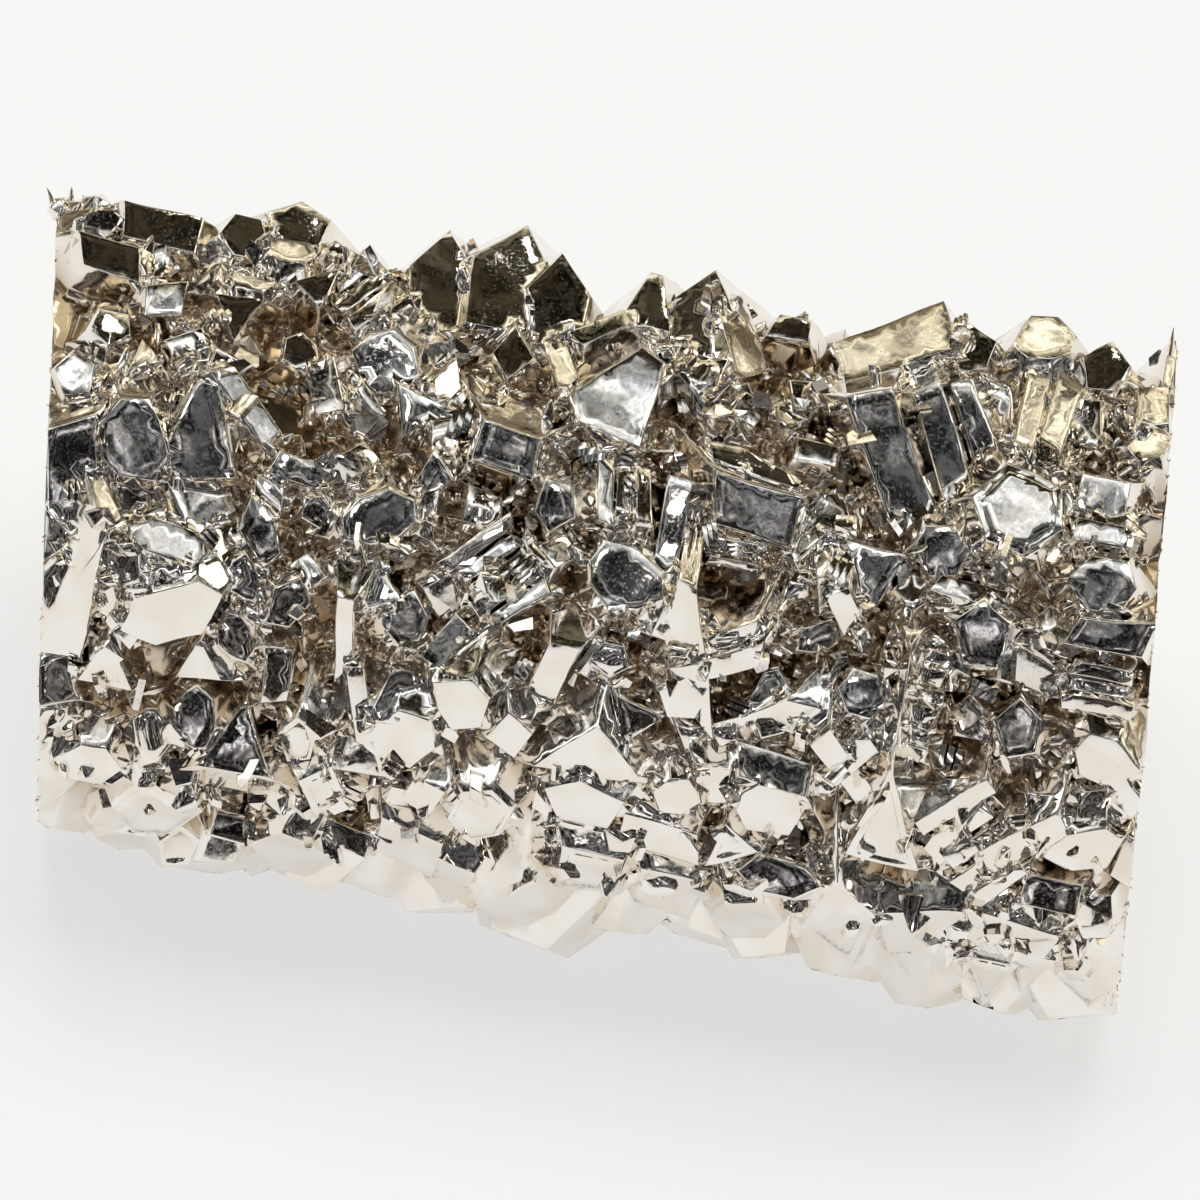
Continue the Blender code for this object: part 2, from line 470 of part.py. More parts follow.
def core(chance):
    """Rough many-sided rod inside the crystals."""
    mesh = bmesh.new()
    turn = Matrix.Rotation(math.radians(90.0), 4, "Y")
    for k in range(CORE_RINGS + 1):
        place = Matrix.Translation((CORE_LENGTH * (k / CORE_RINGS - 0.5), 0.0, 0.0)) @ turn
        bmesh.ops.create_circle(mesh, segments=CORE_SIDES, radius=CORE_RADIUS, matrix=place)
    bmesh.ops.bridge_loops(mesh, edges=mesh.edges[:])
    for vert in mesh.verts:
        vert.co.y *= 1.0 + chance.uniform(-1.0, 1.0) * CORE_ROUGHNESS / CORE_RADIUS
        vert.co.z *= 1.0 + chance.uniform(-1.0, 1.0) * CORE_ROUGHNESS / CORE_RADIUS
    bmesh.ops.holes_fill(mesh, edges=mesh.edges[:], sides=0)
    bmesh.ops.triangulate(mesh, faces=[face for face in mesh.faces if len(face.verts) == 4])
    bmesh.ops.recalc_face_normals(mesh, faces=mesh.faces[:])
    return mesh


def lip_lumps():
    """Torn lip at the upper left edge."""
    lumps = []
    for along, across, outward, radius in LIP:
        point = Vector((along, 0.0, 0.0)) + turned(90.0) * across + turned(0.0) * outward
        mesh = bmesh.new()
        bmesh.ops.create_icosphere(mesh, subdivisions=1, radius=radius, matrix=Matrix.Translation(point))
        lumps.append(mesh)
    return lumps


def to_object(mesh, name, collection):
    """Object with its own mesh, in metres, at the bar's height."""
    bmesh.ops.transform(mesh, matrix=Matrix.Translation((BAR_SHIFT_X, BAR_SHIFT_Y, AXIS_HEIGHT)), verts=mesh.verts[:])
    bmesh.ops.scale(mesh, vec=(MM, MM, MM), verts=mesh.verts[:])
    data = bpy.data.meshes.new(name)
    mesh.to_mesh(data)
    mesh.free()
    thing = bpy.data.objects.new(name, data)
    collection.objects.link(thing)
    return thing


def evaluated(thing):
    """The object's mesh with its modifiers worked out."""
    graph = bpy.context.evaluated_depsgraph_get()
    return bpy.data.meshes.new_from_object(thing.evaluated_get(graph))


def joined(base, others, operation="UNION"):
    """Base joined with, or cut by, a collection of solids, in one Boolean."""
    boolean = base.modifiers.new("join", "BOOLEAN")
    boolean.operation = operation
    boolean.solver = "EXACT"
    boolean.operand_type = "COLLECTION"
    boolean.collection = others
    mesh = evaluated(base)
    base.modifiers.clear()
    base.data = mesh


def guides(name):
    """Collection that holds solids only while they are joined to the bar."""
    collection = bpy.data.collections.new(name)
    bpy.context.scene.collection.children.link(collection)
    return collection


def drop(collection):
    """Removes a collection with its solids."""
    for thing in list(collection.objects):
        bpy.data.objects.remove(thing)
    bpy.data.collections.remove(collection)


def saw_cutters(collection):
    """Blocks that take away what lies beyond the two saw cuts and below the resting plane."""
    upwards = turned(90.0)
    for number, (place, skew, side) in enumerate(((LEFT_END, LEFT_SKEW, -1.0), (RIGHT_END, RIGHT_SKEW, 1.0))):
        mesh = bmesh.new()
        bmesh.ops.create_cube(mesh, size=CUTTER_SIZE)
        turn = Matrix.Rotation(math.radians(skew), 4, turned(0.0))
        outwards = turn @ Vector((side, 0.0, 0.0))
        place = Matrix.Translation(Vector((place, 0.0, 0.0)) + outwards * CUTTER_SIZE / 2)
        bmesh.ops.transform(mesh, matrix=place @ turn, verts=mesh.verts[:])
        to_object(mesh, f"saw_{number}", collection)
    mesh = bmesh.new()
    below = Vector((0.0, 0.0, -AXIS_HEIGHT - CUTTER_SIZE / 2))
    bmesh.ops.create_cube(mesh, size=CUTTER_SIZE, matrix=Matrix.Translation(below))
    to_object(mesh, "ground", collection)


def skins(mesh):
    """The closed surfaces of a mesh, fewest faces first."""
    found = []
    unseen = set(mesh.faces)
    while unseen:
        skin = [unseen.pop()]
        for face in skin:
            for edge in face.edges:
                for other in edge.link_faces:
                    if other in unseen:
                        unseen.discard(other)
                        skin.append(other)
        found.append(skin)
    return sorted(found, key=len)


def merge_short_edges(mesh):
    """Merges the ends of edges too short to see, wherever the surface stays closed around them."""
    merged = 1
    while merged:
        merged = 0
        short = [edge for edge in mesh.edges if edge.calc_length() < SMALLEST_EDGE * MM]
        for edge in sorted(short, key=lambda item: item.calc_length()):
            if not edge.is_valid:
                continue
            start, end = edge.verts
            beside = {e.other_vert(start) for e in start.link_edges} & {e.other_vert(end) for e in end.link_edges}
            if len(beside) == 2:
                bmesh.ops.pointmerge(mesh, verts=[start, end], merge_co=(start.co + end.co) / 2)
                merged += 1


def cleaned(bar):
    """Keeps the one outer skin, as flat triangles, without edges too short to see."""
    mesh = bmesh.new()
    mesh.from_mesh(bar.data)
    for skin in skins(mesh)[:-1]:
        bmesh.ops.delete(mesh, geom=skin, context="FACES")
    bmesh.ops.triangulate(mesh, faces=mesh.faces[:])
    merge_short_edges(mesh)
    mesh.to_mesh(bar.data)
    mesh.free()


def titanium():
    """Bright warm-grey metal."""
    material = bpy.data.materials.new("titanium")
    material.use_nodes = True
    shader = material.node_tree.nodes["Principled BSDF"]
    shader.inputs["Base Color"].default_value = TITANIUM_COLOUR
    shader.inputs["Metallic"].default_value = 1.0
    shader.inputs["Roughness"].default_value = 0.16
    return material


def main():
    for thing in list(bpy.data.objects):
        bpy.data.objects.remove(thing)
    chance = random.Random(22)
    scene = bpy.context.scene.collection
    named = UPPER_LEFT + UPPER_MIDDLE + UPPER_RIGHT + LOWER_LEFT + LOWER_MIDDLE + LOWER_RIGHT + blade_rows()
    bar = to_object(core(chance), "crystal_bar", scene)
    growth = guides("growth")
    solids = [front_crystal(row, chance, 0.0) for row in named]
    solids += [front_crystal(row, chance) for row in filling_rows(chance, named)]
    solids += edge_crystals(chance) + back_crystals(chance) + resting_crystals(chance)
    for number, solid in enumerate(solids):
        to_object(solid, f"growth_{number}", growth)
    joined(bar, growth)
    drop(growth)
    cutters = guides("cutters")
    saw_cutters(cutters)
    joined(bar, cutters, "DIFFERENCE")
    drop(cutters)
    lip = guides("lip")
    for number, lump in enumerate(lip_lumps()):
        to_object(lump, f"lip_{number}", lip)
    joined(bar, lip)
    drop(lip)
    cleaned(bar)
    bar.data.materials.clear()
    bar.data.materials.append(titanium())


main()
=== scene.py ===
import math
import random

import bmesh
import bpy
from mathutils import Matrix, Vector, noise


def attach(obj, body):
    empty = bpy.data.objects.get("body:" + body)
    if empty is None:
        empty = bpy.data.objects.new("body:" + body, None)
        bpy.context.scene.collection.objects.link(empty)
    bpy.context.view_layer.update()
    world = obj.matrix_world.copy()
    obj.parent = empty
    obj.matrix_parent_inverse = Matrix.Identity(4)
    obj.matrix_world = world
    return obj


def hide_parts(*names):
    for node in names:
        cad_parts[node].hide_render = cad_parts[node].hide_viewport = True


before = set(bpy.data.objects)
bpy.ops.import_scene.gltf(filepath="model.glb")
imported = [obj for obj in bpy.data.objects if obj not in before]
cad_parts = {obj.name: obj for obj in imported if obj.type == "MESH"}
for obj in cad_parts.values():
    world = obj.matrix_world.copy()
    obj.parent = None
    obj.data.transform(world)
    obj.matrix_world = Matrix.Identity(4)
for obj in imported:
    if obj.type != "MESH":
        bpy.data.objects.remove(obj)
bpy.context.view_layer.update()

mm = 0.001
chance = random.Random(5)
noise.seed_set(5)                                  # without it the clock bends the faces
axisHeight = 13.9 * mm                             # bar's middle line above the floor
barMiddle = Vector((0.525, -0.19, 13.9)) * mm
leftEnd = Vector((-23.325, -0.19, 13.9)) * mm      # where the saw cuts cross the middle line
rightEnd = Vector((24.525, -0.19, 13.9)) * mm
leftCut = Vector((-0.99377, -0.07882, -0.07882))   # the way the two sawn ends face
rightCut = Vector((0.99854, 0.03824, 0.03824))
sawnMatch = 0.9995                                 # how closely a sawn face faces that way
diagonal = math.sqrt(0.5)                          # the front looks half way up


def deselect():
    if bpy.context.mode != "OBJECT":
        bpy.ops.object.mode_set(mode="OBJECT")
    bpy.ops.object.select_all(action="DESELECT")


def workOn(thing):
    deselect()
    bpy.context.view_layer.objects.active = thing
    thing.select_set(True)


def editing(thing):
    workOn(thing)
    bpy.ops.object.mode_set(mode="EDIT")
    return bmesh.from_edit_mesh(thing.data)


def meshObject(name, points, faces):
    data = bpy.data.meshes.new(name)
    data.from_pydata(points, [], faces)
    thing = bpy.data.objects.new(name, data)
    bpy.context.scene.collection.objects.link(thing)
    return thing


def outwardsAt(place):
    away = Vector((0.0, place.y - barMiddle.y, place.z - axisHeight))
    return away.normalized()


def isSawn(face):
    return face.normal.dot(leftCut) > sawnMatch or face.normal.dot(rightCut) > sawnMatch


def nodeTree(name):
    material = bpy.data.materials.new(name)
    material.use_nodes = True
    tree = material.node_tree
    return material, tree, tree.nodes["Principled BSDF"]


def add(tree, kind, inputs=None, **settings):
    node = tree.nodes.new(kind)
    for key, value in settings.items():
        setattr(node, key, value)
    for key, value in (inputs or {}).items():
        if isinstance(value, bpy.types.NodeSocket):
            tree.links.new(value, node.inputs[key])
        else:
            node.inputs[key].default_value = value
    return node


def ramp(tree, factor, stops):
    node = tree.nodes.new("ShaderNodeValToRGB")
    tree.links.new(factor, node.inputs["Fac"])
    marks = node.color_ramp.elements
    while len(marks) > 1:
        marks.remove(marks[-1])
    marks[0].position, marks[0].color = stops[0][0], (*stops[0][1], 1.0)
    for place, colour in stops[1:]:
        mark = marks.new(place)
        mark.color = (*colour, 1.0)
    return node.outputs["Color"]


def spread(tree, value, low, high, least=0.0, most=1.0):
    return add(tree, "ShaderNodeMapRange", {"Value": value, "From Min": low, "From Max": high,
                                            "To Min": least, "To Max": most}).outputs[0]


def blend(tree, factor, first, second):
    node = tree.nodes.new("ShaderNodeMix")
    node.data_type = "RGBA"
    tree.links.new(factor, node.inputs[0])
    for socket, value in ((node.inputs[6], first), (node.inputs[7], second)):
        if isinstance(value, bpy.types.NodeSocket):
            tree.links.new(value, socket)
        else:
            socket.default_value = (*value, 1.0)
    return node.outputs[2]


def millimetres(tree):
    spot = add(tree, "ShaderNodeTexCoord").outputs["Object"]
    return add(tree, "ShaderNodeVectorMath", {0: spot, "Scale": 1.0 / mm},
               operation="SCALE").outputs[0]


def patternOf(tree, place, size, detail=0.0):
    return add(tree, "ShaderNodeTexNoise",
               {"Vector": place, "Scale": size, "Detail": detail}).outputs["Fac"]


titaniumLook = {
    "bright": (0.900, 0.862, 0.812),     # two tones on the tips
    "dull": (0.86, 0.802, 0.722),
    "grooveShade": (0.60, 0.497, 0.375),        # painted shade: darker and browner down in the grooves
    "toneSize": 0.6,                     # patches of a tone to the millimetre
    "toneRange": (0.38, 0.62),
    "depths": (11.5, 13.0),              # from deep to tip, mm from the bar's middle line
    "roughness": 0.06,
    "deepRoughness": 0.17,               # in the grooves
    "mottled": 0.17,                     # of the dull specks
    "specks": 8.0,                       # specks to the millimetre
    "speckRange": (0.48, 0.74),
    "dimpleSize": 2.4,                   # dimples to the millimetre
    "dimples": 0.005,                    # their height, mm
}


def depthInGrooves(tree, place, depths):
    # 0 deep between the crystals, 1 on their tips; it also sets where the painted groove shade lies
    parts = add(tree, "ShaderNodeSeparateXYZ", {0: place}).outputs
    flat = add(tree, "ShaderNodeCombineXYZ", {"Y": parts["Y"], "Z": parts["Z"]}).outputs[0]
    away = add(tree, "ShaderNodeVectorMath",
               {0: flat, 1: (0.0, barMiddle.y / mm, barMiddle.z / mm)},
               operation="DISTANCE").outputs["Value"]
    return spread(tree, away, *depths)


def titanium(name, look, dimpled=True):
    material, tree, shader = nodeTree(name)
    place = millimetres(tree)
    low, high = look["toneRange"]
    tone = ramp(tree, patternOf(tree, place, look["toneSize"]),
                [(low, look["dull"]), (high, look["bright"])])
    height = depthInGrooves(tree, place, look["depths"])
    # painted shade: the base colour darkens to the groove tone deeper in the grooves
    tone = blend(tree, height, look["grooveShade"], tone)
    tree.links.new(tone, shader.inputs["Base Color"])
    shader.inputs["Metallic"].default_value = 1.0
    rough = spread(tree, height, 0.0, 1.0, look["deepRoughness"], look["roughness"])
    if dimpled:
        specks = spread(tree, patternOf(tree, place, look["specks"]), *look["speckRange"])
        specks = add(tree, "ShaderNodeMath", {0: specks, 1: height},
                     operation="MULTIPLY").outputs[0]
        rough = add(tree, "ShaderNodeMath",
                    {0: specks, 1: look["mottled"] - look["roughness"], 2: rough},
                    operation="MULTIPLY_ADD").outputs[0]
        bump = add(tree, "ShaderNodeBump",
                   {"Strength": 1.0, "Distance": look["dimples"] * mm,
                    "Height": patternOf(tree, place, look["dimpleSize"])})
        tree.links.new(bump.outputs["Normal"], shader.inputs["Normal"])
    tree.links.new(rough, shader.inputs["Roughness"])
    return material


sawnLook = {
    "bright": (0.78, 0.75, 0.72),        # the grains that the cut goes through, in two tones
    "dark": (0.62, 0.59, 0.56),
    "grains": 0.5,                       # grains to the millimetre
    "grainRange": (0.1, 0.9),
    "roughness": 0.34,
    "roughnessRange": (0.8, 1.2),        # over the saw marks, as a share of the roughness
    "marks": 15.6,                       # saw marks, radians to the millimetre
    "markWay": (0.0, 0.94, 0.34),
    "waver": 0.35,                       # of the marks, mm
    "scratches": 7.0,                    # to the millimetre
    "scratchDetail": 4.0,
    "markShare": 0.3,                    # height of the marks beside the scratches
    "relief": 0.02,                      # mm
    "reliefStrength": 0.5,
}


def sawnTitanium(look):
    material, tree, shader = nodeTree("sawnTitanium")
    place = millimetres(tree)
    grain = add(tree, "ShaderNodeTexVoronoi", {"Vector": place, "Scale": look["grains"]})
    scratch = patternOf(tree, place, look["scratches"], look["scratchDetail"])
    low, high = look["grainRange"]
    tone = ramp(tree, grain.outputs["Color"], [(low, look["dark"]), (high, look["bright"])])
    tree.links.new(tone, shader.inputs["Base Color"])
    across = add(tree, "ShaderNodeVectorMath", {0: place, 1: look["markWay"]},
                 operation="DOT_PRODUCT").outputs["Value"]
    wander = add(tree, "ShaderNodeMath", {0: scratch, 1: look["waver"], 2: across},
                 operation="MULTIPLY_ADD").outputs[0]
    phase = add(tree, "ShaderNodeMath", {0: wander, 1: look["marks"]},
                operation="MULTIPLY").outputs[0]
    marks = add(tree, "ShaderNodeMath", {0: phase}, operation="SINE").outputs[0]
    smooth, coarse = [share * look["roughness"] for share in look["roughnessRange"]]
    tree.links.new(spread(tree, marks, -1.0, 1.0, smooth, coarse), shader.inputs["Roughness"])
    shader.inputs["Metallic"].default_value = 1.0
    height = add(tree, "ShaderNodeMath", {0: marks, 1: look["markShare"], 2: scratch},
                 operation="MULTIPLY_ADD").outputs[0]
    bump = add(tree, "ShaderNodeBump",
               {"Strength": look["reliefStrength"], "Distance": look["relief"] * mm,
                "Height": height})
    tree.links.new(bump.outputs["Normal"], shader.inputs["Normal"])
    return material


surfaceCare = {
    "merge": 1e-7,                       # points closer than this are one, m
    "resting": -0.99,                    # faces whose normals are lower rest on the floor
    "restingHeight": 0.1,                # points lower than this stay where they are, mm
    "flat": 0.6,                         # degrees within which triangles are one face
    "ridgeAngle": 18.0,                  # sharper ridges are rounded, degrees
    "ridgeLength": 0.15,                 # and shorter ones stay sharp, mm
    "ridgeWeights": (0.15, 0.3, 0.55, 1.0),
    "rounding": 0.075,                   # mm at weight 1
    "grooveAngle": 22.0,                 # a hollow edge is a groove from here on, degrees
    "smooth": 33.0,                      # softer edges are shaded smooth, degrees
    "finest": 0.80,                      # no longer edge is left inside a face, mm
    "rounds": 4,                         # of cutting such edges in half
    "stub": 0.002,                       # edges shorter than this are taken out, mm
    "level": 0.01,                       # triangles this level with others may be recut, radians
    "warpSize": 2.8,                     # how the faces are bent, mm
    "warp": 0.14,
    "waveSize": 1.1,
    "wave": 0.007,
    "waveShift": (9.0, 4.0, 7.0),
    "areaWeight": 60,                    # how far large faces rule the shading
}

growth = {
    # terraces on the larger faces: margin, rise, and whether they are for the faces that look down
    "terraces": ((0.10, 0.03, False), (0.17, -0.02, False), (0.24, 0.02, False),
                 (0.12, 0.08, True), (0.20, -0.07, True), (0.28, 0.06, True)),
    "sorts": 3,                          # of terraces for each of the two kinds of face
    "oneIn": 28,                         # of the faces
    "oneInLow": 5,                       # of those that look down
    "looksDown": 0.1,                    # their normal's height is below this
    "resting": -0.999,                   # and those lower than this have none
    "mix": (7.0, 13.0, 5.0),             # mixes the faces' places to pick among them
    "slope": 0.7,                        # width of a terrace's wall beside its height
    "area": 1.3,                         # a face with terraces is larger than this, mm2
    "width": 0.42,                       # and at least this wide, mm
    "corners": 14,                       # has no more corners than this
    "hollow": 165.0,                     # and no hollow corner sharper than this, degrees
}


def grooveLines(mesh):
    # hollow edges between crystals: start, end, way out of the groove, and its two sides
    lines = []
    for edge in mesh.edges:
        if len(edge.link_faces) != 2 or edge.is_convex:
            continue
        if edge.calc_face_angle(0.0) < math.radians(surfaceCare["grooveAngle"]):
            continue
        first, second = edge.link_faces
        if isSawn(first) or isSawn(second):
            continue
        outward = (first.normal + second.normal).normalized()
        start, end = edge.verts[0].co.copy(), edge.verts[1].co.copy()
        sides = []
        for face in (first, second):
            inward = face.calc_center_median() - (start + end) / 2
            inward -= inward.project(end - start) if (end - start).length > 0 else Vector()
            sides.append((inward.normalized(), face.calc_area() / mm ** 2))
        lines.append((start, end, outward, sides))
    return lines


def crystalFaces(mesh):
    # each face's area, how far it looks outwards, its normal and its corners
    found = []
    for face in mesh.faces:
        if isSawn(face) or face.normal.z < surfaceCare["resting"]:
            continue
        outward = face.normal.dot(outwardsAt(face.calc_center_median()))
        corners = [vert.co.copy() for vert in face.verts]
        found.append((face.calc_area() / mm ** 2, outward, face.normal.copy(), corners))
    return found


def sawnRims(mesh):
    # where the crystals were sawn off: start, end, the way the cut faces
    rims = []
    for edge in mesh.edges:
        if len(edge.link_faces) != 2:
            continue
        first, second = edge.link_faces
        if isSawn(first) != isSawn(second):
            cut = first if isSawn(first) else second
            rims.append((edge.verts[0].co.copy(), edge.verts[1].co.copy(), cut.normal.copy()))
    return rims


def roundRidges(skin):
    # ridges are rounded, each by its own amount
    care = surfaceCare
    mesh = bmesh.new()
    mesh.from_mesh(skin.data)
    grooves, flanks, rims = grooveLines(mesh), crystalFaces(mesh), sawnRims(mesh)
    weight = mesh.edges.layers.float.new("bevel_weight_edge")
    for edge in mesh.edges:
        if len(edge.link_faces) != 2 or not edge.is_convex:
            continue
        if edge.calc_face_angle(0.0) > math.radians(care["ridgeAngle"]):
            if edge.calc_length() > care["ridgeLength"] * mm:
                edge[weight] = chance.choice(care["ridgeWeights"])
    mesh.to_mesh(skin.data)
    mesh.free()
    workOn(skin)
    bpy.ops.object.modifier_add(type="BEVEL")
    rounding = skin.modifiers[-1]
    rounding.limit_method = "WEIGHT"
    rounding.width = care["rounding"] * mm
    rounding.segments = 2
    rounding.use_clamp_overlap = False
    rounding.face_strength_mode = "FSTR_ALL"
    rounding.miter_outer = "MITER_SHARP"
    bpy.ops.object.modifier_apply(modifier=rounding.name)
    return grooves, flanks, rims


def carriesStep(face):
    if isSawn(face) or face.normal.z < growth["resting"]:
        return False
    area = face.calc_area() / mm ** 2
    if area < growth["area"] or len(face.verts) > growth["corners"]:
        return False
    if 2.0 * area / (face.calc_perimeter() / mm) < growth["width"]:
        return False
    for loop in face.loops:
        if not loop.is_convex and loop.calc_angle() < math.radians(growth["hollow"]):
            return False
    return True


def growthSteps(skin):
    along, behind, above = growth["mix"]
    for number, (margin, rise, low) in enumerate(growth["terraces"]):
        bpy.ops.mesh.select_all(action="DESELECT")
        mesh = bmesh.from_edit_mesh(skin.data)
        mesh.faces.ensure_lookup_table()
        every = growth["oneInLow"] if low else growth["oneIn"]
        for face in mesh.faces:
            middle = face.calc_center_median() / mm
            pick = int(abs(middle.x * along + middle.y * behind + middle.z * above)) % every
            face.select = ((face.normal.z < growth["looksDown"]) == low
                           and pick == number % growth["sorts"] and carriesStep(face))
        mesh.select_flush_mode()
        bmesh.update_edit_mesh(skin.data)
        bpy.ops.mesh.inset(thickness=margin * mm, depth=0.0, use_individual=True)
        bpy.ops.mesh.inset(thickness=abs(rise) * growth["slope"] * mm, depth=rise * mm,
                           use_individual=True)


def evenTriangles(mesh):
    # long thin triangles inside a face would show as notches once the face is bent
    inside = [edge for edge in mesh.edges
              if len(edge.link_faces) == 2
              and edge.calc_face_angle(1.0) < surfaceCare["level"]
              and not any(isSawn(face) for face in edge.link_faces)]
    bmesh.ops.beautify_fill(mesh, faces=mesh.faces[:], edges=inside, method="ANGLE")


def fineTriangles(skin):
    # the faces need points inside to be bent
    care = surfaceCare
    mesh = bmesh.new()
    mesh.from_mesh(skin.data)
    bmesh.ops.dissolve_degenerate(mesh, edges=mesh.edges[:], dist=care["stub"] * mm)
    for face in mesh.faces:
        face.smooth = True
    print("surface: open edges", sum(not edge.is_manifold for edge in mesh.edges))
    bmesh.ops.triangulate(mesh, faces=[face for face in mesh.faces if not isSawn(face)])
    evenTriangles(mesh)
    for _ in range(care["rounds"]):
        long = [edge for edge in mesh.edges if edge.calc_length() > care["finest"] * mm
                and not all(isSawn(face) for face in edge.link_faces)]
        bmesh.ops.subdivide_edges(mesh, edges=long, cuts=1)
        cut = [face for face in mesh.faces if len(face.verts) > 3 and not isSawn(face)]
        bmesh.ops.triangulate(mesh, faces=cut)
        evenTriangles(mesh)
    mesh.to_mesh(skin.data)
    mesh.free()


def unevenFaces(skin):
    # no crystal face is truly flat: a slight warp of the whole and shallow waves in each face
    care = surfaceCare
    mesh = bmesh.new()
    mesh.from_mesh(skin.data)
    mesh.normal_update()
    for vert in mesh.verts:
        if vert.co.z < care["restingHeight"] * mm or any(isSawn(face) for face in vert.link_faces):
            continue
        place = vert.co / mm
        warp = noise.noise_vector(place / care["warpSize"]) * care["warp"]
        wave = noise.noise(place / care["waveSize"] + Vector(care["waveShift"])) * care["wave"]
        vert.co += (warp + vert.normal * wave) * mm
    mesh.to_mesh(skin.data)
    mesh.free()


def crystalSkin():
    care = surfaceCare
    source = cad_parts["crystal_bar"]
    skin = bpy.data.objects.new("crystalSkin", source.data.copy())
    bpy.context.scene.collection.objects.link(skin)
    editing(skin)
    bpy.ops.mesh.select_all(action="SELECT")
    bpy.ops.mesh.remove_doubles(threshold=care["merge"])
    bpy.ops.mesh.dissolve_limited(angle_limit=math.radians(care["flat"]))
    bpy.ops.mesh.select_all(action="DESELECT")
    bpy.ops.object.mode_set(mode="OBJECT")
    grooves, flanks, rims = roundRidges(skin)
    editing(skin)
    growthSteps(skin)
    bpy.ops.object.mode_set(mode="OBJECT")
    fineTriangles(skin)
    workOn(skin)
    bpy.ops.object.shade_smooth_by_angle(angle=math.radians(care["smooth"]))
    unevenFaces(skin)
    bpy.ops.object.modifier_add(type="WEIGHTED_NORMAL")
    weighted = skin.modifiers[-1]
    weighted.mode = "FACE_AREA"
    weighted.weight = care["areaWeight"]
    weighted.keep_sharp = True
    weighted.use_face_influence = True
    bpy.ops.object.modifier_apply(modifier=weighted.name)
    print("surface:", len(skin.data.polygons), "faces,", len(grooves), "grooves")
    return skin, grooves, flanks, rims


def shapeOf(thing):
    workOn(thing)
    bpy.ops.object.transform_apply(location=True, rotation=True, scale=True)
    points = [vert.co.copy() for vert in thing.data.vertices]
    faces = [tuple(face.vertices) for face in thing.data.polygons]
    bpy.data.objects.remove(thing)
    return points, faces


def cutTop(place, facing):
    bpy.ops.mesh.select_all(action="SELECT")
    bpy.ops.mesh.bisect(plane_co=place, plane_no=facing, use_fill=True, clear_outer=True)


def chunkShape(sides, taper, squeeze, cuts, rounding):
    # a small crystal about 1 across: a tapered prism, its top cut off at a slant
    deselect()
    bpy.ops.mesh.primitive_cone_add(vertices=sides, radius1=0.5, radius2=0.5 * taper, depth=1.0,
                                    location=(0.0, 0.0, 0.15))
    chunk = bpy.context.object
    bpy.ops.object.mode_set(mode="EDIT")
    bpy.ops.mesh.select_all(action="SELECT")
    bpy.ops.transform.resize(value=(1.0, squeeze, 1.0), center_override=(0.0, 0.0, 0.0))
    for place, facing in cuts:
        cutTop(place, facing)
    if rounding:
        bpy.ops.mesh.select_all(action="SELECT")
        bpy.ops.mesh.bevel(offset=rounding, offset_type="OFFSET", segments=1, affect="EDGES",
                           clamp_overlap=True)
    bpy.ops.object.mode_set(mode="OBJECT")
    return shapeOf(chunk)


def chunkShapes(rounding=0.0):
    tilt = Vector((0.42, 0.1, 1.0)).normalized()
    side = Vector((-0.75, 0.45, 0.6)).normalized()
    back = Vector((0.1, -0.8, 0.55)).normalized()
    chunks = [
        # corners, taper, squeeze, cuts
        (4, 0.86, 1.0, [((0.0, 0.0, 0.48), tilt), ((-0.22, 0.1, 0.42), side)]),       # block
        (6, 0.9, 0.42, [((0.0, 0.0, 0.5), tilt), ((0.0, -0.12, 0.5), back)]),         # plate
        (3, 0.45, 0.9, [((0.0, 0.0, 0.5), tilt)]),                                    # wedge
        (4, 0.08, 1.0, [((0.05, 0.0, 0.52), back)]),                                  # pyramid
        (5, 0.7, 0.8, [((0.0, 0.0, 0.5), side), ((0.1, 0.0, 0.45), tilt)]),           # prism
    ]
    return [chunkShape(*chunk, rounding) for chunk in chunks]


blades = {
    "heights": (0.9, 1.1, 1.3),
    "thickness": 0.26,
    "pitch": 1.25,                       # from one to the next, in thicknesses
    "shorter": 0.12,                     # each is so much shorter than the one before
    # what cuts the tops: along, down from the top, the way it faces
    "cuts": ((0.3, 0.55, (0.55, 0.25, 1.0)), (-0.42, 0.62, (-1.0, 0.1, 0.7))),
}


def bladesShape():
    # thin plates side by side, each cut off at a slant
    made = []
    for number, height in enumerate(blades["heights"]):
        middle = (0.0, (number - 1) * blades["thickness"] * blades["pitch"], height / 2 - 0.5)
        deselect()
        bpy.ops.mesh.primitive_cube_add(size=1.0, location=middle)
        bpy.ops.object.mode_set(mode="EDIT")
        bpy.ops.mesh.select_all(action="SELECT")
        size = (1.0 - blades["shorter"] * number, blades["thickness"], height)
        bpy.ops.transform.resize(value=size, center_override=middle)
        for along, down, facing in blades["cuts"]:
            cutTop((along, 0.0, height - down), Vector(facing).normalized())
        bpy.ops.object.mode_set(mode="OBJECT")
        made.append(bpy.context.object)
    deselect()
    for blade in made:
        blade.select_set(True)
    bpy.context.view_layer.objects.active = made[0]
    bpy.ops.object.join()
    return shapeOf(made[0])


def uprightTo(direction, turn):
    return direction.to_track_quat("Z", "Y").to_matrix() @ Matrix.Rotation(turn, 3, "Z")


sway = 0.25                              # how far crystals turn off the way they lie, radians


